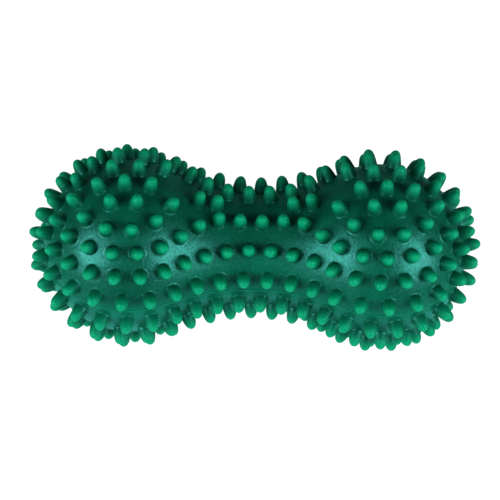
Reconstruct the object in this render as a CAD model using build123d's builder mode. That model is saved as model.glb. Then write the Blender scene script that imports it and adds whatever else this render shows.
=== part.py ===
from build123d import *
import os
from math import cos, hypot, pi, radians, sin, sqrt

# Peanut-shaped massage ball: a hollow, one-piece skin of soft PVC, covered with rounded spikes,
# and a two-piece air valve in the underside of its waist.
# +X runs through both lobes, z = 0 is the plane where the two halves of the mould meet,
# and the origin is the middle of the body. Millimetres.

# ---------------------------------------------------------------- driving dimensions
OVERALL_LENGTH = 160.0  # over spikes at the ends of the long axis
OVERALL_WIDTH = 72.0  # over the spike tips of a lobe
SPIKE_HEIGHT = 5.5  # from the skin to the tip
WAIST_RADIUS = 19.6  # skin, without spikes
WALL = 2.5
PARTING_RIDGE = 0.25  # height and width of the raised line at the parting plane

SPIKE_BASE_RADIUS = 2.6
SPIKE_TIP_RADIUS = 1.95  # of the round tip, and of the spike where the tip begins
SPIKE_FOOT_RADIUS = 3.0  # the flared foot, which runs a little into the skin
SPIKE_FOOT_DEPTH = 0.3
SPIKE_FOOT_HEIGHT = 0.5
SPIKE_ROOT_DEPTH = 1.2  # how far a spike's root reaches into the wall

# Spikes stand in rows that loop around the whole body, one above the other on both halves.
# (height of the row over the parting plane on a lobe, spikes in the loop, shift in pitches)
UPPER_ROWS = [(5.4, 42, 0.48), (14.0, 44, 0.64), (20.6, 42, 0.14)]
LOWER_ROWS = [(5.4, 45, 0.24), (13.9, 44, 0.80), (20.6, 42, 0.50)]
ROW_DROOP = 0.15  # a row loses this share of its height from a lobe's centre to its outer end
WAIST_CLOSENESS = 1.07  # spikes stand this much closer together across the waist
TOP_ROW_ANGLE = 73.0  # a row never climbs past this angle around the waist, degrees
ROW_STATIONS = 1500

# Each lobe has a crown, above and below: rings of spikes around a middle one.
# (plan radius of the ring, spikes, first angle in degrees)
CROWN_RINGS = [(16.6, 12, 19.5), (8.6, 6, 0.0), (0.0, 1, 0.0)]
CROWN_SHIFT = 1.2  # the crown lies this much outside its lobe's centre
CREST_SPIKES = [13.6, 20.2]  # spikes between the crown and the waist, along X

# Air valve
BOSS_RADIUS = 7.2
BOSS_FACE = 20.1  # below the origin
BOSS_DEPTH = 6.4
PORT_RADIUS = 4.0
FLANGE_RADIUS = 5.6
FLANGE_THICKNESS = 1.0
SEAT_LENGTH = 9.0
SEAT_CHAMFER = 0.4
BOND_GAP = 0.03  # film of cement around the seat
PLUG_HEAD_RADIUS = 3.3
PLUG_HEAD_THICKNESS = 1.3
PLUG_RECESS_DEPTH = 0.6
PLUG_STEM_RADIUS = 1.6
PLUG_STEM_LENGTH = 7.4
PLUG_HEAD_FILLET = 0.6
PLUG_STEM_CHAMFER = 0.5
PLUG_CLEARANCE = 0.04
VALVE_KEEP_OUT = 10.0  # no spike stands nearer to the valve's axis

# ---------------------------------------------------------------- worked out from them
LOBE_RADIUS = OVERALL_WIDTH / 2 - SPIKE_HEIGHT
LOBE_X = (OVERALL_LENGTH - OVERALL_WIDTH) / 2
# the waist is one hollow arc, tangent to both lobes
WAIST_ARC = (LOBE_X**2 + WAIST_RADIUS**2 - LOBE_RADIUS**2) / (2 * (LOBE_RADIUS - WAIST_RADIUS))
WAIST_ARC_Y = WAIST_RADIUS + WAIST_ARC
TANGENT_X = LOBE_X * WAIST_ARC / (LOBE_RADIUS + WAIST_ARC)
BODY_END = LOBE_X + LOBE_RADIUS


def skin_radius(x):
    """Distance from the long axis to the outside of the skin."""
    if abs(x) > TANGENT_X:
        return sqrt(max(LOBE_RADIUS**2 - (abs(x) - LOBE_X) ** 2, 0.0))
    return WAIST_ARC_Y - sqrt(WAIST_ARC**2 - x**2)


def outward(x, y, z):
    """Direction square to the skin at a point on it."""
    if abs(x) > TANGENT_X:
        along = (abs(x) - LOBE_X) / LOBE_RADIUS
    else:
        along = -abs(x) / WAIST_ARC
    around = sqrt(1 - along**2) / hypot(y, z)
    return Vector(along if x >= 0 else -along, around * y, around * z)


def row_height(height, x):
    """Height of a row over the parting plane at station x."""
    past_centre = max(0.0, abs(x) - LOBE_X) / LOBE_RADIUS
    drooped = height * (1 - ROW_DROOP * past_centre**2)
    if abs(x) < TANGENT_X:
        return min(drooped, skin_radius(x) * sin(radians(TOP_ROW_ANGLE)))
    return drooped


def row_path(height):
    """Points along a row's whole loop, from its left end, past -Y, and back past +Y."""
    front = []
    for i in range(ROW_STATIONS + 1):
        x = BODY_END * sin(pi * (i / ROW_STATIONS - 0.5))
        z = row_height(height, x)
        if z < skin_radius(x):
            front.append(Vector(x, -sqrt(skin_radius(x) ** 2 - z**2), z))
    back = [Vector(p.X, -p.Y, p.Z) for p in reversed(front)]
    return front + back + front[:1]


def row_points(height, count, shift):
    """Spike positions, evenly spaced along a row from the middle of its -Y side."""
    path = row_path(height)
    travelled = [0.0]
    for here, there in zip(path, path[1:]):
        closeness = WAIST_CLOSENESS if abs(here.X) < TANGENT_X else 1.0
        travelled.append(travelled[-1] + (there - here).length * closeness)
    pitch = travelled[-1] / count
    targets = sorted((travelled[-1] / 4 + (k + shift) * pitch) % travelled[-1] for k in range(count))
    points = []
    station = 0
    for target in targets:
        while travelled[station + 1] < target:
            station += 1
        points.append(path[station])
    return points


def crown_points(side):
    """Spikes of one crown, on the upper half of the lobe at side -1 or +1."""
    points = []
    for ring_radius, count, first_angle in CROWN_RINGS:
        for k in range(count):
            angle = radians(first_angle + 360 * k / count)
            x = CROWN_SHIFT + ring_radius * cos(angle)
            y = ring_radius * sin(angle)
            points.append(Vector(side * (LOBE_X + x), y, sqrt(LOBE_RADIUS**2 - x**2 - y**2)))
    return points


def half_points(rows):
    """All the spike positions of the upper half for a list of rows."""
    points = []
    for height, count, shift in rows:
        points += row_points(height, count, shift)
    for side in (-1, 1):
        points += crown_points(side)
        points += [Vector(side * x, 0, skin_radius(x)) for x in CREST_SPIKES]
    return points


def spike_places():
    """A plane at the foot of every spike, with its z axis along the spike."""
    points = half_points(UPPER_ROWS)
    below = [Vector(p.X, p.Y, -p.Z) for p in half_points(LOWER_ROWS)]
    points += [p for p in below if hypot(p.X, p.Y) > VALVE_KEEP_OUT]
    return [Plane(origin=p, z_dir=outward(p.X, p.Y, p.Z)) for p in points]


def peanut_half(inset):
    """Half of the body's lengthwise section, on the +Y side of the axis, shrunk by inset."""
    lobe = LOBE_RADIUS - inset
    arc = WAIST_ARC + inset
    tangent = Vector(LOBE_X * arc / (lobe + arc), WAIST_ARC_Y * lobe / (lobe + arc))
    with BuildSketch(Plane.XY) as half:
        with BuildLine():
            end = Vector(LOBE_X + lobe, 0)
            RadiusArc(tangent, end, lobe)
            Line(end, (-end.X, 0))
            RadiusArc((-end.X, 0), (-tangent.X, tangent.Y), lobe)
            ThreePointArc((-tangent.X, tangent.Y), (0, WAIST_RADIUS - inset), tangent)
        make_face()
    return half.sketch


# ---------------------------------------------------------------- one spike
with BuildPart() as spike:
    with BuildSketch(Plane.XZ):
        with BuildLine():
            shoulder = (SPIKE_TIP_RADIUS, SPIKE_HEIGHT - SPIKE_TIP_RADIUS)
            Polyline(
                (0, SPIKE_HEIGHT),
                (0, -SPIKE_ROOT_DEPTH),
                (SPIKE_FOOT_RADIUS, -SPIKE_ROOT_DEPTH),
                (SPIKE_FOOT_RADIUS, -SPIKE_FOOT_DEPTH),
                (SPIKE_BASE_RADIUS, SPIKE_FOOT_HEIGHT),
                shoulder,
            )
            RadiusArc(shoulder, (0, SPIKE_HEIGHT), -SPIKE_TIP_RADIUS)
        make_face()
    revolve(axis=Axis.Z)

# ---------------------------------------------------------------- skin
# One hollow moulding: body, spikes, parting line, and a flat boss with the valve's port.
with BuildPart() as skin:
    add(peanut_half(0))
    revolve(axis=Axis.X)
    with Locations(*spike_places()):
        add(spike.part)
    with BuildSketch(Plane.XY):
        add(peanut_half(-PARTING_RIDGE))
        mirror(about=Plane.XZ)
    extrude(amount=PARTING_RIDGE / 2, both=True)
    add(peanut_half(WALL))
    revolve(axis=Axis.X, mode=Mode.SUBTRACT)
    with BuildSketch(Plane.XY.offset(-BOSS_FACE)):
        Circle(BOSS_RADIUS)
    extrude(amount=BOSS_DEPTH)
    with BuildSketch(Plane.XY.offset(-BOSS_FACE)):
        Circle(PORT_RADIUS)
    extrude(amount=BOSS_DEPTH, mode=Mode.SUBTRACT)
    with BuildSketch(Plane.XY.offset(-BOSS_FACE)):
        Circle(FLANGE_RADIUS + BOND_GAP)
    extrude(amount=FLANGE_THICKNESS, mode=Mode.SUBTRACT)

# ---------------------------------------------------------------- valve seat
# A flanged bush, cemented into the port, with a recess for the plug's head.
with BuildPart() as valve_seat:
    with BuildSketch(Plane.XY.offset(-BOSS_FACE)):
        Circle(FLANGE_RADIUS)
    extrude(amount=FLANGE_THICKNESS)
    with BuildSketch(Plane.XY.offset(-BOSS_FACE)):
        Circle(PORT_RADIUS - BOND_GAP)
    extrude(amount=SEAT_LENGTH)
    chamfer(valve_seat.edges().sort_by(Axis.Z)[-1], SEAT_CHAMFER)
    with BuildSketch(Plane.XY.offset(-BOSS_FACE)):
        Circle(PLUG_HEAD_RADIUS + PLUG_CLEARANCE)
    extrude(amount=PLUG_RECESS_DEPTH, mode=Mode.SUBTRACT)
    with BuildSketch(Plane.XY.offset(-BOSS_FACE)):
        Circle(PLUG_STEM_RADIUS + PLUG_CLEARANCE)
    extrude(amount=SEAT_LENGTH, mode=Mode.SUBTRACT)

# ---------------------------------------------------------------- valve plug
# A round head and a stem that fills the seat's bore; it pulls straight out, downwards.
with BuildPart() as valve_plug:
    with BuildSketch(Plane.XY.offset(PLUG_RECESS_DEPTH - BOSS_FACE)):
        Circle(PLUG_HEAD_RADIUS)
    extrude(amount=-PLUG_HEAD_THICKNESS)
    fillet(valve_plug.edges().sort_by(Axis.Z)[0], PLUG_HEAD_FILLET)
    with BuildSketch(Plane.XY.offset(PLUG_RECESS_DEPTH - BOSS_FACE)):
        Circle(PLUG_STEM_RADIUS)
    extrude(amount=PLUG_STEM_LENGTH)
    chamfer(valve_plug.edges().sort_by(Axis.Z)[-1], PLUG_STEM_CHAMFER)

# ---------------------------------------------------------------- export
skin.part.label = "skin"
valve_seat.part.label = "valve_seat"
valve_plug.part.label = "valve_plug"

os.makedirs("parts", exist_ok=True)
export_step(skin.part, "parts/skin.step")
export_step(valve_seat.part, "parts/valve_seat.step")
export_step(valve_plug.part, "parts/valve_plug.step")
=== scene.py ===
import math
import random

import bpy
import numpy as np
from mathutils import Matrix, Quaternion, Vector
from mathutils.geometry import delaunay_2d_cdt


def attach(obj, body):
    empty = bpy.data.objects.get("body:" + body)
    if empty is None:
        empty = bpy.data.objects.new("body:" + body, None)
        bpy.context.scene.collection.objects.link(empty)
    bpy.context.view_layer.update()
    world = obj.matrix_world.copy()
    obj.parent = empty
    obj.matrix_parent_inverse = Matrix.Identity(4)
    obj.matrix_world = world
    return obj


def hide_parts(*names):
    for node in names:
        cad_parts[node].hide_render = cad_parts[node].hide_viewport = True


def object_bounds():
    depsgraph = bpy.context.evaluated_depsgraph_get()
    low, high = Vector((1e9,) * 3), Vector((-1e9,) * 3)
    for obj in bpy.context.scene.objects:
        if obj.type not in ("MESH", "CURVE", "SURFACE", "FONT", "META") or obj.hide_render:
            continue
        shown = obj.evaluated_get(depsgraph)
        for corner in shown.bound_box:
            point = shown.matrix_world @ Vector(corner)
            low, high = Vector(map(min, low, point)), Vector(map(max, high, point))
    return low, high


# Peanut-shaped massage ball. Metres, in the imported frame: +X runs through both lobes, z = 0 is
# the mould's parting plane, and the origin is the middle of the body.

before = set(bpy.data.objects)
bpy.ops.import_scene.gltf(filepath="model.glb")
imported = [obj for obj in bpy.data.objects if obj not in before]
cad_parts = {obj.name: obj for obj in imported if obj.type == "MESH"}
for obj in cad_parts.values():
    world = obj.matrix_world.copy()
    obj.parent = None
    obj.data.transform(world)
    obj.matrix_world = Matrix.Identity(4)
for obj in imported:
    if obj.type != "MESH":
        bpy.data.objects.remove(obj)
CAD_BOUNDS = [list(corner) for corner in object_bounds()]
MM = 0.001

# ---------------------------------------------------------------- body, the CAD skin's own shape
LOBE_RADIUS = 30.5 * MM
LOBE_X = 44.0 * MM
WAIST_RADIUS = 19.6 * MM
WALL = 2.5 * MM
SPIKE_HEIGHT = 5.5 * MM
WAIST_ARC = (LOBE_X**2 + WAIST_RADIUS**2 - LOBE_RADIUS**2) / (2 * (LOBE_RADIUS - WAIST_RADIUS))
WAIST_ARC_Y = WAIST_RADIUS + WAIST_ARC

BOSS_RADIUS = 7.2 * MM
BOSS_FACE = 20.1 * MM
BOSS_DEPTH = 6.4 * MM
COUNTERBORE_RADIUS = 5.63 * MM
COUNTERBORE_DEPTH = 1.0 * MM
PORT_RADIUS = 4.0 * MM

# ---------------------------------------------------------------- spikes
TIP_DEPTH = 0.02 * MM  # a CAD vertex this near to the full spike height is taken for a tip
TIP_SAME = 1.0 * MM  # two such vertices closer than this are one spike's
SPIKE_SIDES = 24
RIM_RADIUS = 3.5 * MM  # a spike's patch of skin, where its neighbours leave room for it
RIM_GAP = 0.14 * MM
SETTLE_HEIGHT = 1.6  # millimetres up a spike, over which its foot follows the body's curve
TALLEST = 0.998  # share of the CAD spike's height, so that no tip passes it
SHORTER_BY = 0.012  # spread of what a spike falls short by, as a share of its height
LEAN = 0.014  # spread of a tip's shift to the side, as a share of its height
BEAD = 0.045  # height of the witness line around a foot, in millimetres, then its spread and least
BEAD_SPREAD = 0.025
BEAD_LEAST = 0.015
STREAK_SHIFT = 1.7  # gives each spike its own stretch of the streaks' noise

# ---------------------------------------------------------------- plain skin, seam and boss
SKIN_SPACING = 1.7 * MM
INSIDE_SPACING = 4.0 * MM
STATIONS = 600  # steps along the crest in which the body is laid flat
RIM_MARGIN = 0.45  # spacings of plain skin kept free around a hole's rim
WHOLE_INSIDE = 2  # the kind of triangulation: all that lies inside the outermost loop
MERGE_DISTANCE = 1e-6
SEAM_STEPS = 220
SEAM_ENDS = 0.5 * MM  # only the two end points of a seam loop are nearer to the plane y = 0
SEAM_HALF_WIDTH = 0.35 * MM
SEAM_RIDGE = 0.22 * MM
BOSS_SIDES = 48
BOSS_ROUNDING = 0.12 * MM

# ---------------------------------------------------------------- colours and grain
BODY_DARK = (0.0, 0.074, 0.040, 1)
BODY_LIGHT = (0.0, 0.104, 0.057, 1)
# Spike tips: painted light, a lighter green than the body for the light that falls on them and shines
# through them; a mottle picks between these two tones.
LIT_TIP_DARK = (0.0, 0.235, 0.115, 1)
LIT_TIP_LIGHT = (0.001, 0.295, 0.145, 1)
SEAT_DARK = (0.0, 0.10, 0.055, 1)
SEAT_LIGHT = (0.0, 0.14, 0.075, 1)
PLUG_DARK = (0.0, 0.17, 0.09, 1)
PLUG_LIGHT = (0.0, 0.22, 0.12, 1)
GLOSS_TINT = (0.22, 1.0, 0.95, 1)
CLOUD_SCALE = 70.0  # noise scales are in cells per metre, except the streaks'
VALVE_CLOUD_SCALE = 320.0
MOTTLE_SCALE = 1300.0
GRAIN_SCALE = 4200.0
STREAK_SCALE = 3.2  # in cells per radius of a circle around a spike

# ---------------------------------------------------------------- studio
FLOOR_RADIUS = 4.0
FLOOR_PAPER = (0.25, 0.25, 0.25, 1)
FLOOR_GLOW = 0.78
BACKDROP_RADIUS = 4.2
WHITE = (1.0, 1.0, 1.0, 1.0)
ROOM_REFLECTION = (0.07, 0.15, 0.14, 1)
TABLE_REFLECTION = (0.24, 1.0, 0.9, 1)
TABLE_STARTS = -0.3  # height of a reflected direction where the room turns into the table
TABLE_FULL = -0.8
SOFTBOX_DISTANCE = 0.95
SOFTBOX_TINT = (0.97, 1.0, 1.0)
VIEW_GAMMA = 0.86
VIEW_EXPOSURE = 0.25

# The camera looks along +Y from 48 degrees above the horizon, turned a little about its own axis.
ELEVATION = math.radians(48.0)
ROLL = math.radians(1.1)
DISTANCE = 0.885
AIM_RIGHT = -1.6 * MM
AIM_UP = -0.74 * MM
LENS = 180.0
SENSOR_WIDTH = 36.0


# ================================================================ the body's surface
def skin_radius(x, inset=0.0):
    """Distance from the long axis to the body's surface, shrunk by inset."""
    arc = WAIST_ARC + inset
    lobe = LOBE_RADIUS - inset
    if abs(x) > LOBE_X * arc / (lobe + arc):
        return math.sqrt(max(lobe**2 - (abs(x) - LOBE_X) ** 2, 0.0))
    return WAIST_ARC_Y - math.sqrt(arc**2 - x**2)


def height_over(p):
    """Height of a point over the body's surface, and the direction square to the surface."""
    along = abs(p.x)
    out = max(math.hypot(p.y, p.z), 1e-9)
    if along * WAIST_ARC_Y > LOBE_X * (WAIST_ARC_Y - out):
        slope = Vector((along - LOBE_X, out))
        height = slope.length - LOBE_RADIUS
    else:
        slope = Vector((-along, WAIST_ARC_Y - out))
        height = WAIST_ARC - slope.length
    slope.normalize()
    square = Vector((math.copysign(slope.x, p.x * slope.x), slope.y * p.y / out, slope.y * p.z / out))
    return height, square


def onto_skin(p, direction):
    """The point over or under p, along direction, that lies on the body's surface."""
    for _ in range(5):
        p = p - direction * height_over(p)[0]
    return p


def find_spikes():
    """(foot, direction) of each spike with a CAD vertex close enough to its full height.

    Four of the CAD's 339 spikes have no vertex closer to it than 0.025 mm, so they aren't
    found. Their tips are at x = 26.4 or -26.4, y = 3.6, and z = 31.2 or -31.2 mm.
    """
    high = []
    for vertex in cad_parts["skin"].data.vertices:
        height, square = height_over(vertex.co)
        if height > SPIKE_HEIGHT - TIP_DEPTH:
            high.append((-height, *vertex.co, *square))
    feet = []
    for found in sorted(high):
        tip, square = Vector(found[1:4]), Vector(found[4:])
        foot = tip - square * SPIKE_HEIGHT
        if all((foot - other).length > TIP_SAME for other, _ in feet):
            feet.append((foot, square))
    return feet


# ================================================================ a mesh in the making
class Sheet:
    """Vertices and faces of one piece, with what its material reads at each vertex: how pale it is,
    as painted light (0 on the plain skin, 1 at a spike's tip, and a painted highlight along the
    seam), and its place around its own spike."""

    def __init__(self):
        self.points = []
        self.faces = []
        self.heights = []
        self.turns = []

    def add(self, p, height=0.0, turn=(0.0, 0.0, 0.0)):
        self.points.append(tuple(p))
        self.heights.append(height)
        self.turns.append(turn)
        return len(self.points) - 1

    def add_ring(self, points, height=0.0):
        return [self.add(p, height) for p in points]

    def join(self, lower, upper):
        """A band of faces between two rings of the same length."""
        for i in range(len(lower)):
            j = (i + 1) % len(lower)
            self.faces.append((lower[i], lower[j], upper[j], upper[i]))

    def join_all(self, rings):
        for lower, upper in zip(rings, rings[1:]):
            self.join(lower, upper)

    def close(self, ring, apex):
        for i in range(len(ring)):
            self.faces.append((ring[i], ring[(i + 1) % len(ring)], apex))

    def middle(self, ring):
        return sum((Vector(self.points[n]) for n in ring), Vector()) / len(ring)

    def make(self, name):
        mesh = bpy.data.meshes.new(name)
        mesh.from_pydata(self.points, [], self.faces)
        layer = mesh.attributes.new("spike_height_and_seam_highlight", "FLOAT", "POINT")
        layer.data.foreach_set("value", self.heights)
        layer = mesh.attributes.new("spike_turn", "FLOAT_VECTOR", "POINT")
        layer.data.foreach_set("vector", [c for turn in self.turns for c in turn])
        mesh.shade_smooth()
        obj = bpy.data.objects.new(name, mesh)
        bpy.context.scene.collection.objects.link(obj)
        return obj


# ================================================================ spikes
def spike_profile(rim, bead):
    """(radius, height) in millimetres from the rim, over the witness line, to under the tip."""
    return [
        (rim / MM, 0.0),
        (2.99, 0.0),
        (2.92, 0.6 * bead),
        (2.86, bead),
        (2.79, 0.6 * bead),
        (2.73, 0.02),
        (2.66, 0.12),
        (2.60, 0.34),
        (2.54, 0.70),
        (2.44, 1.30),
        (2.32, 2.00),
        (2.18, 2.70),
        (2.02, 3.35),
        (1.84, 3.92),
        (1.58, 4.48),
        (1.23, 4.94),
        (0.82, 5.26),
        (0.41, 5.44),
    ]


def add_spike(sheet, index, foot, square, rim, draw):
    """One spike, from its rim on the skin to its tip. Returns the rim."""
    across = square.cross(Vector((0, 1, 0) if abs(square.x) > 0.9 else (1, 0, 0))).normalized()
    other = square.cross(across)
    lean = (across * draw.gauss(0, 1) + other * draw.gauss(0, 1)) * LEAN
    stretch = TALLEST - abs(draw.gauss(0, SHORTER_BY))
    bead = max(BEAD_LEAST, draw.gauss(BEAD, BEAD_SPREAD))
    rings = []
    for radius, height in spike_profile(rim, bead):
        rise = height * MM * stretch
        settle = max(0.0, 1 - height / SETTLE_HEIGHT) ** 2
        bend = lean * rise**2 / SPIKE_HEIGHT
        ring = []
        for i in range(SPIKE_SIDES):
            angle = 2 * math.pi * i / SPIKE_SIDES
            flat = foot + (across * math.cos(angle) + other * math.sin(angle)) * radius * MM
            base = flat + (onto_skin(flat, square) - flat) * settle
            turn = (math.cos(angle), math.sin(angle), index * STREAK_SHIFT)
            ring.append(sheet.add(base + square * rise + bend, rise / SPIKE_HEIGHT, turn))
        rings.append(ring)
    sheet.join_all(rings)
    tip = foot + square * SPIKE_HEIGHT * stretch + lean * SPIKE_HEIGHT * stretch**2
    sheet.close(rings[-1], sheet.add(tip, 1.0, (0.0, 0.0, index * STREAK_SHIFT)))
    return rings[0]


# ================================================================ plain skin between the spikes
class Unrolled:
    """The upper or lower half of the body laid flat: u along its crest, v around it."""

    def __init__(self, side, inset):
        self.side = side
        self.inset = inset
        end = LOBE_X + LOBE_RADIUS - inset
        self.stations = [end * math.sin(math.pi / 2 * i / STATIONS) for i in range(STATIONS + 1)]
        self.travelled = [0.0]
        for a, b in zip(self.stations, self.stations[1:]):
            climb = skin_radius(b, inset) - skin_radius(a, inset)
            self.travelled.append(self.travelled[-1] + math.hypot(b - a, climb))

    def flatten(self, p):
        u = float(np.interp(abs(p.x), self.stations, self.travelled))
        v = skin_radius(p.x, self.inset) * math.atan2(p.y, self.side * p.z)
        return Vector((math.copysign(u, p.x), v))

    def raise_up(self, u, v):
        """The point of the body at (u, v), or None where that is past its seam or close to it."""
        if abs(u) >= self.travelled[-1]:
            return None
        x = math.copysign(float(np.interp(abs(u), self.travelled, self.stations)), u)
        radius = skin_radius(x, self.inset)
        if radius * math.pi / 2 - abs(v) < SKIN_SPACING / 2:
            return None
        return Vector((x, radius * math.sin(v / radius), self.side * radius * math.cos(v / radius)))


def seam_loop(inset, height):
    """Points of the body's surface at a height over the parting plane, round from +X to +Y."""
    end = LOBE_X + LOBE_RADIUS - inset
    tip = LOBE_X + math.sqrt((LOBE_RADIUS - inset) ** 2 - height**2)
    side = []
    for i in range(1, SEAM_STEPS):
        x = end * math.cos(math.pi * i / SEAM_STEPS)
        squared = skin_radius(x, inset) ** 2 - height**2
        if squared > SEAM_ENDS**2:
            side.append(Vector((x, math.sqrt(squared), height)))
    back = [Vector((p.x, -p.y, height)) for p in reversed(side)]
    return [Vector((tip, 0, height)), *side, Vector((-tip, 0, height)), *back]


def cover_half(sheet, side, inset, spacing, seam, holes):
    """Covers half of the body, inside its seam, with even triangles that follow the holes' rims.

    The insides of the holes are covered too, by flat faces between the points of each rim.
    """
    flat = Unrolled(side, inset)
    numbers = []
    edges = []
    clear = []
    for ring in [seam, *holes]:
        first = len(numbers)
        numbers += ring
        edges += [(first + k, first + (k + 1) % len(ring)) for k in range(len(ring))]
    coords = [flat.flatten(Vector(sheet.points[n])) for n in numbers]
    for ring in holes:
        middle = sheet.middle(ring)
        reach = max((Vector(sheet.points[n]) - middle).length for n in ring)
        clear.append((*middle, reach + RIM_MARGIN * spacing))
    clear = np.array(clear).reshape(-1, 4)
    across = spacing * math.sqrt(3) / 2
    rows = int(LOBE_RADIUS * math.pi / 2 / across) + 1
    count = int(flat.travelled[-1] / spacing) + 1
    for row in range(-rows, rows + 1):
        for k in range(-count, count + 1):
            u = (k + 0.5 * (row % 2)) * spacing
            p = flat.raise_up(u, row * across)
            if p is None or (np.linalg.norm(clear[:, :3] - np.array(p), axis=1) < clear[:, 3]).any():
                continue
            numbers.append(sheet.add(p))
            coords.append(Vector((u, row * across)))
    scaled = [c / MM for c in coords]
    _, _, faces, origins, _, _ = delaunay_2d_cdt(scaled, edges, [], WHOLE_INSIDE, MERGE_DISTANCE)
    for face in faces:
        corners = [numbers[origins[v][0]] for v in face]
        if (side > 0) == (inset > 0):
            corners.reverse()
        sheet.faces.append(tuple(corners))


def boss_ring(radius, height):
    """A ring around the valve's axis. height(x, y) is how far under the origin it lies."""
    points = []
    for i in range(BOSS_SIDES):
        angle = -2 * math.pi * i / BOSS_SIDES
        x, y = radius * math.cos(angle), radius * math.sin(angle)
        points.append(Vector((x, y, -height(x, y))))
    return points


def add_boss(sheet):
    """The valve's boss, counterbore and port. Returns its rims on the outside and the inside."""

    def skin(x, y):
        return math.sqrt(skin_radius(x) ** 2 - y**2)

    def inner_skin(x, y):
        return math.sqrt(skin_radius(x, WALL) ** 2 - y**2)

    def between(share):
        return lambda x, y: skin(x, y) + share * (BOSS_FACE - skin(x, y))

    def level(drop):
        return lambda x, y: BOSS_FACE - drop

    rows = [
        (BOSS_RADIUS + 0.90 * MM, skin),
        (BOSS_RADIUS + 0.70 * MM, skin),
        (BOSS_RADIUS + 0.25 * MM, between(0.06)),
        (BOSS_RADIUS + 0.05 * MM, between(0.25)),
        (BOSS_RADIUS - 0.02 * MM, between(0.80)),
        (BOSS_RADIUS - 0.14 * MM, between(0.98)),
        (BOSS_RADIUS - 0.30 * MM, level(0.0)),
        (COUNTERBORE_RADIUS + 2 * BOSS_ROUNDING, level(0.0)),
        (COUNTERBORE_RADIUS + BOSS_ROUNDING, level(0.01 * MM)),
        (COUNTERBORE_RADIUS, level(BOSS_ROUNDING)),
        (COUNTERBORE_RADIUS, level(COUNTERBORE_DEPTH)),
        (PORT_RADIUS, level(COUNTERBORE_DEPTH)),
        (PORT_RADIUS, level(BOSS_DEPTH)),
        (BOSS_RADIUS, level(BOSS_DEPTH)),
        (BOSS_RADIUS, inner_skin),
    ]
    rings = [sheet.add_ring(boss_ring(radius, height)) for radius, height in rows]
    sheet.join_all(rings)
    return rings[0], rings[-1]


def add_seam(sheet):
    """The raised line where the mould's halves met. Returns the lower and upper edge of its band."""
    # Each point: its shares of the half width and of the ridge's height, and how much painted
    # highlight it gets, a pale line along the ridge coloured towards the lit-tip green.
    half = [(1.0, 0.0, 0.0), (0.62, 0.0, 0.1), (0.42, 0.5, 0.35), (0.18, 1.0, 0.6)]
    rings = []
    for share, out, painted_highlight in [(-share, *rest) for share, *rest in half] + half[::-1]:
        points = []
        for p in seam_loop(0.0, share * SEAM_HALF_WIDTH):
            points.append(p + height_over(p)[1] * out * SEAM_RIDGE)
        rings.append(sheet.add_ring(points, painted_highlight))
    sheet.join_all(rings)
    return rings[0], rings[-1]


def build_skin():
    """The whole one-piece moulding, hollow, with its spikes, parting line and valve port."""
    sheet = Sheet()
    draw = random.Random(41)
    spikes = find_spikes()
    upper = []
    lower = []
    for index, (foot, square) in enumerate(spikes):
        nearest = min((foot - other).length for other, _ in spikes if other is not foot)
        rim = min(RIM_RADIUS, (nearest - RIM_GAP) / 2)
        ring = add_spike(sheet, index, foot, square, rim, draw)
        (upper if foot.z > 0 else lower).append(ring)
    outer_port, inner_port = add_boss(sheet)
    lower_edge, upper_edge = add_seam(sheet)
    inner_seam = sheet.add_ring(seam_loop(WALL, 0.0))
    cover_half(sheet, 1, 0.0, SKIN_SPACING, upper_edge, upper)
    cover_half(sheet, -1, 0.0, SKIN_SPACING, lower_edge, [*lower, outer_port])
    cover_half(sheet, 1, WALL, INSIDE_SPACING, inner_seam, [])
    cover_half(sheet, -1, WALL, INSIDE_SPACING, inner_seam, [inner_port])
    return sheet.make("skin_moulding")


# ================================================================ materials
class Nodes:
    """Short calls for the node tree of a new material or world."""

    def __init__(self, name, kind=bpy.data.materials):
        self.made = kind.new(name)
        self.made.use_nodes = True
        self.tree = self.made.node_tree
        self.tree.nodes.clear()

    def add(self, kind, settings=None, **inputs):
        """A node, with its own settings, and its inputs by name: a value, or another's output."""
        node = self.tree.nodes.new(kind)
        for key, value in (settings or {}).items():
            setattr(node, key, value)
        for key, value in inputs.items():
            self.put(node, key.replace("_", " "), value)
        return node

    def put(self, node, socket, value):
        if isinstance(value, bpy.types.NodeSocket):
            self.tree.links.new(value, node.inputs[socket])
        else:
            node.inputs[socket].default_value = value

    def math(self, operation, *values):
        node = self.tree.nodes.new("ShaderNodeMath")
        node.operation = operation
        for number, value in enumerate(values):
            self.put(node, number, value)
        return node.outputs[0]

    def noise(self, vector, scale, detail=3.0, roughness=0.55):
        node = self.add("ShaderNodeTexNoise", Vector=vector, Scale=scale, Detail=detail)
        self.put(node, "Roughness", roughness)
        return node.outputs["Fac"]

    def span(self, value, low, high, to_low, to_high, smooth=False):
        node = self.tree.nodes.new("ShaderNodeMapRange")
        node.interpolation_type = "SMOOTHSTEP" if smooth else "LINEAR"
        for number, v in enumerate([value, low, high, to_low, to_high]):
            self.put(node, number, v)
        return node.outputs[0]

    def mix(self, share, a, b):
        node = self.tree.nodes.new("ShaderNodeMix")
        node.data_type = "RGBA"
        self.put(node, 0, share)
        self.put(node, 6, a)
        self.put(node, 7, b)
        return node.outputs[2]

    def bump(self, height, strength, distance, normal=None):
        node = self.add("ShaderNodeBump", Height=height, Strength=strength, Distance=distance)
        if normal:
            self.put(node, "Normal", normal)
        return node.outputs[0]

    def finish(self, shader, output="ShaderNodeOutputMaterial"):
        self.tree.links.new(shader.outputs[0], self.tree.nodes.new(output).inputs["Surface"])
        return self.made


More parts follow.
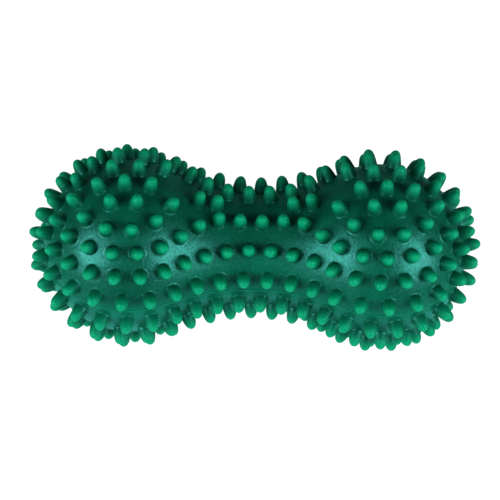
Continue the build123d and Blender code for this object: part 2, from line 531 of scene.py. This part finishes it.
def pvc_material():
    """Soft green PVC: semi-gloss skin, and spikes painted lighter towards their tips, a painted light
    for the light that falls on them and shines through them.
    """
    n = Nodes("soft_pvc_skin")
    place = n.add("ShaderNodeTexCoord").outputs["Object"]
    # The share of a spike's height, which paints light onto the spikes' tips, and the painted
    # highlight along the seam.
    height = n.add("ShaderNodeAttribute", {"attribute_name": "spike_height_and_seam_highlight"}).outputs["Fac"]
    turn = n.add("ShaderNodeAttribute", {"attribute_name": "spike_turn"}).outputs["Vector"]
    clouds = n.noise(place, CLOUD_SCALE)
    mottle = n.noise(place, MOTTLE_SCALE, roughness=0.6)
    grain = n.noise(place, GRAIN_SCALE, detail=2.0, roughness=0.5)
    streaks = n.noise(turn, STREAK_SCALE, roughness=0.65)
    deep = n.mix(n.span(clouds, 0.35, 0.65, 0.0, 1.0, True), BODY_DARK, BODY_LIGHT)
    # Painted light: the colour goes from the body's green at a spike's foot to the lighter lit-tip
    # green at its tip, and partly to it along the seam as a painted highlight.
    tips = n.mix(n.span(mottle, 0.3, 0.7, 0.0, 1.0), LIT_TIP_DARK, LIT_TIP_LIGHT)
    colour = n.mix(n.span(height, 0.05, 1.0, 0.0, 1.0, True), deep, tips)
    on_spike = n.span(height, 0.05, 0.3, 0.0, 1.0, True)
    off_tip = n.span(height, 0.97, 0.8, 0.0, 1.0, True)
    striped = n.math("MULTIPLY", on_spike, off_tip)
    sand = n.span(mottle, 0.4, 0.6, 0.6, 1.4)
    gloss = n.math("MULTIPLY", n.span(height, 0.0, 0.4, 0.78, 0.3), sand)
    rough = n.math("ADD", n.span(mottle, 0.3, 0.7, 0.34, 0.42), n.math("MULTIPLY", on_spike, 0.10))
    normal = n.bump(grain, 0.4, 0.02 * MM)
    normal = n.bump(mottle, 0.8, 0.10 * MM, normal)
    normal = n.bump(n.math("MULTIPLY", streaks, striped), 0.7, 0.16 * MM, normal)
    shader = n.add(
        "ShaderNodeBsdfPrincipled",
        Base_Color=colour,
        Roughness=rough,
        IOR=1.52,
        Normal=normal,
        Specular_IOR_Level=gloss,
        Specular_Tint=GLOSS_TINT,
        Subsurface_Weight=0.03,
        Subsurface_Radius=(0.25, 1.0, 0.6),
        Subsurface_Scale=1.6 * MM,
    )
    return n.finish(shader)


def fitting_material(name, dark, light, smoothest, roughest):
    """Harder moulded PVC of the valve: fine moulding grain and a little handling polish."""
    n = Nodes(name)
    place = n.add("ShaderNodeTexCoord").outputs["Object"]
    clouds = n.noise(place, VALVE_CLOUD_SCALE)
    grain = n.noise(place, GRAIN_SCALE, roughness=0.6)
    colour = n.mix(n.span(clouds, 0.3, 0.7, 0.0, 1.0, True), dark, light)
    shader = n.add(
        "ShaderNodeBsdfPrincipled",
        Base_Color=colour,
        Roughness=n.span(clouds, 0.3, 0.7, smoothest, roughest),
        IOR=1.5,
        Specular_Tint=GLOSS_TINT,
        Normal=n.bump(grain, 0.3, 0.05 * MM),
    )
    return n.finish(shader)


def floor_material():
    """Pale studio floor that gives off a little light, so that shadows on it stay faint. It is
    clear from underneath, so that the valve can be looked at."""
    n = Nodes("studio_floor")
    place = n.add("ShaderNodeTexCoord").outputs["Object"]
    tone = n.span(n.noise(place, 4.0), 0.3, 0.7, 0.86, 0.88)
    paper = n.add(
        "ShaderNodeBsdfPrincipled",
        Base_Color=FLOOR_PAPER,
        Roughness=tone,
        Specular_IOR_Level=0.1,
        Emission_Color=WHITE,
        Emission_Strength=FLOOR_GLOW,
    )
    clear = n.add("ShaderNodeBsdfTransparent")
    sides = n.tree.nodes.new("ShaderNodeMixShader")
    n.put(sides, 0, n.add("ShaderNodeNewGeometry").outputs["Backfacing"])
    n.put(sides, 1, paper.outputs[0])
    n.put(sides, 2, clear.outputs[0])
    return n.finish(sides)


def backdrop_material():
    """Even white behind everything."""
    n = Nodes("studio_backdrop")
    return n.finish(n.add("ShaderNodeEmission", Color=WHITE, Strength=1.0))


def studio_world():
    """What the gloss reflects besides the softboxes: a dim room over a lit table."""
    n = Nodes("studio", bpy.data.worlds)
    way = n.add("ShaderNodeSeparateXYZ", Vector=n.add("ShaderNodeTexCoord").outputs["Generated"])
    below = n.span(way.outputs["Z"], TABLE_STARTS, TABLE_FULL, 0.0, 1.0, True)
    light = n.mix(below, ROOM_REFLECTION, TABLE_REFLECTION)
    return n.finish(n.add("ShaderNodeBackground", Color=light), "ShaderNodeOutputWorld")


# ================================================================ pieces
skin = build_skin()
skin.data.materials.append(pvc_material())
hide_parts("skin")
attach(skin, "ball")

seat_finish = fitting_material("valve_seat_pvc", SEAT_DARK, SEAT_LIGHT, smoothest=0.32, roughest=0.42)
plug_finish = fitting_material("valve_plug_pvc", PLUG_DARK, PLUG_LIGHT, smoothest=0.36, roughest=0.46)
for node, finish in [("valve_seat", seat_finish), ("valve_plug", plug_finish)]:
    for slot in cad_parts[node].material_slots:
        slot.material = finish

# ================================================================ studio
scene = bpy.context.scene
scene.view_settings.view_transform = "Standard"
scene.view_settings.gamma = VIEW_GAMMA
scene.view_settings.exposure = VIEW_EXPOSURE

# The gloss doesn't mirror the white floor and backdrop: it mirrors the world and the softboxes.
bpy.ops.mesh.primitive_circle_add(vertices=96, radius=FLOOR_RADIUS, fill_type="NGON")
floor = bpy.context.object
floor.name = "studio_floor"
floor.location.z = CAD_BOUNDS[0][2]
floor.data.materials.append(floor_material())
floor.visible_glossy = False

bpy.ops.mesh.primitive_uv_sphere_add(segments=48, ring_count=24, radius=BACKDROP_RADIUS)
backdrop = bpy.context.object
backdrop.name = "studio_backdrop"
backdrop.data.materials.append(backdrop_material())
backdrop.visible_diffuse = False
backdrop.visible_glossy = False
backdrop.visible_shadow = False

# The world is there for the gloss alone, and lights nothing.
scene.world = studio_world()
scene.world.cycles_visibility.diffuse = False


def softbox(name, direction, width, height, power):
    """A rectangular area light that faces the middle of the body."""
    data = bpy.data.lights.new(name, "AREA")
    data.shape = "RECTANGLE"
    data.size = width
    data.size_y = height
    data.energy = power
    data.color = SOFTBOX_TINT
    light = bpy.data.objects.new(name, data)
    direction = Vector(direction).normalized()
    light.location = direction * SOFTBOX_DISTANCE
    light.rotation_mode = "QUATERNION"
    light.rotation_quaternion = direction.to_track_quat("Z", "Y")
    scene.collection.objects.link(light)
    return light


softbox("softbox_left", (-0.75, -0.54, 0.34), width=0.58, height=0.66, power=9.0)
softbox("softbox_right", (0.75, -0.54, 0.34), width=0.58, height=0.66, power=9.0)
softbox_back = softbox("softbox_back", (0.0, 0.97, 0.22), width=0.70, height=0.30, power=3.2)
softbox_back.visible_glossy = False

toward_camera = Vector((0, -math.cos(ELEVATION), math.sin(ELEVATION)))
turned = toward_camera.to_track_quat("Z", "Y") @ Quaternion((0, 0, 1), ROLL)
aim = turned @ Vector((AIM_RIGHT, AIM_UP, 0))
camera_data = bpy.data.cameras.new("camera")
camera_data.lens = LENS
camera_data.sensor_width = SENSOR_WIDTH
camera = bpy.data.objects.new("camera", camera_data)
camera.location = aim + toward_camera * DISTANCE
camera.rotation_mode = "QUATERNION"
camera.rotation_quaternion = turned
scene.collection.objects.link(camera)
scene.camera = camera
